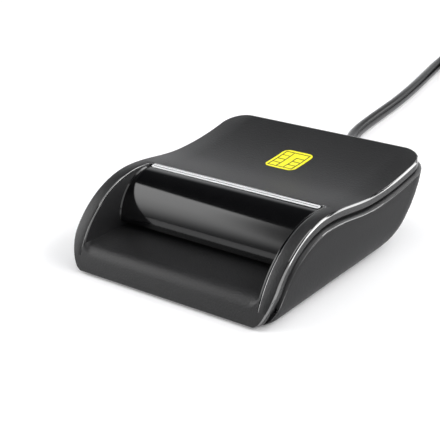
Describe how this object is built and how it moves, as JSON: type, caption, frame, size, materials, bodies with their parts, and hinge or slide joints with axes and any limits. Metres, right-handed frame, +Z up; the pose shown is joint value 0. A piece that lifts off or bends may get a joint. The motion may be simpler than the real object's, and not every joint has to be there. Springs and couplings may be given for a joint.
{
  "type": "smart card reader",
  "caption": "Desktop smart card reader with a humped top panel, open card mouth between two cheeks, sprung card contacts inside and a coiled captive plug cable.",
  "frame": {"origin": "middle of the reader's footprint, on the table under the rubber feet", "axes": "+Z up, +Y the way the card goes in, from the card mouth to the cable end, +X to the right seen from the mouth"},
  "size_m": [0.0753, 0.2649, 0.0227],
  "materials": {
    "lower_abs": "fine spark-eroded texture",
    "upper_abs": "fine spark-eroded texture",
    "gloss_abs": "high gloss",
    "strip_silver": "satin silver",
    "symbol_film": "printed film, satin",
    "foot_rubber": "matt",
    "screw_steel": "zinc plated",
    "board_laminate": "solder mask",
    "chip_epoxy": "moulded epoxy",
    "crystal_can": "nickel plated",
    "part_ceramic": "fired ceramic",
    "connector_plastic": "glass-filled moulding",
    "contact_metal": "gold plated",
    "lever_plastic": "moulded",
    "header_plastic": "moulded",
    "core_pvc": "extruded",
    "cable_pvc": "satin extruded",
    "gland_rubber": "moulded",
    "tie_fabric": "woven",
    "grip_pvc": "satin moulded",
    "plug_steel": "nickel plated",
    "tongue_plastic": "moulded"
  },
  "bodies": {
    "housing": {"bottom_shell": "lower_abs", "top_shell": "upper_abs", "slot_bezel": "gloss_abs", "rim_strip": "strip_silver", "chip_symbol": "symbol_film", "rubber_feet": "foot_rubber", "case_screws": "screw_steel", "circuit_board": "board_laminate", "board_screws": "screw_steel", "controller_chip": "chip_epoxy", "clock_crystal": "crystal_can", "board_parts": "part_ceramic", "contact_block": "connector_plastic", "contact_tails": "contact_metal", "card_guide": "connector_plastic", "detect_switch": "connector_plastic", "cable_header": "header_plastic", "cable_cores": "core_pvc", "cable_inner": "cable_pvc", "cable_clamp": "connector_plastic", "cable_gland": "gland_rubber", "cable_lead": "cable_pvc", "cable_coil": "cable_pvc", "cable_tail": "cable_pvc", "coil_tie": "tie_fabric", "plug_grip": "grip_pvc", "plug_shell": "plug_steel", "plug_tongue": "tongue_plastic", "plug_contacts": "contact_metal"},
    "lever": {"detect_lever": "lever_plastic"},
    "contact_1": {"contact_c1": "contact_metal"},
    "contact_2": {"contact_c2": "contact_metal"},
    "contact_3": {"contact_c3": "contact_metal"},
    "contact_4": {"contact_c4": "contact_metal"},
    "contact_5": {"contact_c5": "contact_metal"},
    "contact_6": {"contact_c6": "contact_metal"},
    "contact_7": {"contact_c7": "contact_metal"},
    "contact_8": {"contact_c8": "contact_metal"}
  },
  "joints": [
    {"name": "contact_c1_flex", "type": "hinge", "parent": "housing", "child": "contact_1", "pos_m": [-0.00691, 0.0173, 0.006], "axis": [1, 0, 0], "range_deg": [0, 8], "stiffness_Nm_per_rad": 0.012},
    {"name": "contact_c2_flex", "type": "hinge", "parent": "housing", "child": "contact_2", "pos_m": [-0.00437, 0.0173, 0.006], "axis": [1, 0, 0], "range_deg": [0, 8], "stiffness_Nm_per_rad": 0.012},
    {"name": "contact_c3_flex", "type": "hinge", "parent": "housing", "child": "contact_3", "pos_m": [-0.00183, 0.0173, 0.006], "axis": [1, 0, 0], "range_deg": [0, 8], "stiffness_Nm_per_rad": 0.012},
    {"name": "contact_c4_flex", "type": "hinge", "parent": "housing", "child": "contact_4", "pos_m": [0.00071, 0.0173, 0.006], "axis": [1, 0, 0], "range_deg": [0, 8], "stiffness_Nm_per_rad": 0.012},
    {"name": "contact_c5_flex", "type": "hinge", "parent": "housing", "child": "contact_5", "pos_m": [-0.00691, 0.00058, 0.006], "axis": [-1, 0, 0], "range_deg": [0, 8], "stiffness_Nm_per_rad": 0.012},
    {"name": "contact_c6_flex", "type": "hinge", "parent": "housing", "child": "contact_6", "pos_m": [-0.00437, 0.00058, 0.006], "axis": [-1, 0, 0], "range_deg": [0, 8], "stiffness_Nm_per_rad": 0.012},
    {"name": "contact_c7_flex", "type": "hinge", "parent": "housing", "child": "contact_7", "pos_m": [-0.00183, 0.00058, 0.006], "axis": [-1, 0, 0], "range_deg": [0, 8], "stiffness_Nm_per_rad": 0.012},
    {"name": "contact_c8_flex", "type": "hinge", "parent": "housing", "child": "contact_8", "pos_m": [0.00071, 0.00058, 0.006], "axis": [-1, 0, 0], "range_deg": [0, 8], "stiffness_Nm_per_rad": 0.012},
    {"name": "detect_lever_press", "type": "hinge", "parent": "housing", "child": "lever", "pos_m": [0.013, 0.0122, 0.0059], "axis": [-1, 0, 0], "range_deg": [0, 6.5], "stiffness_Nm_per_rad": 0.012}
  ]
}
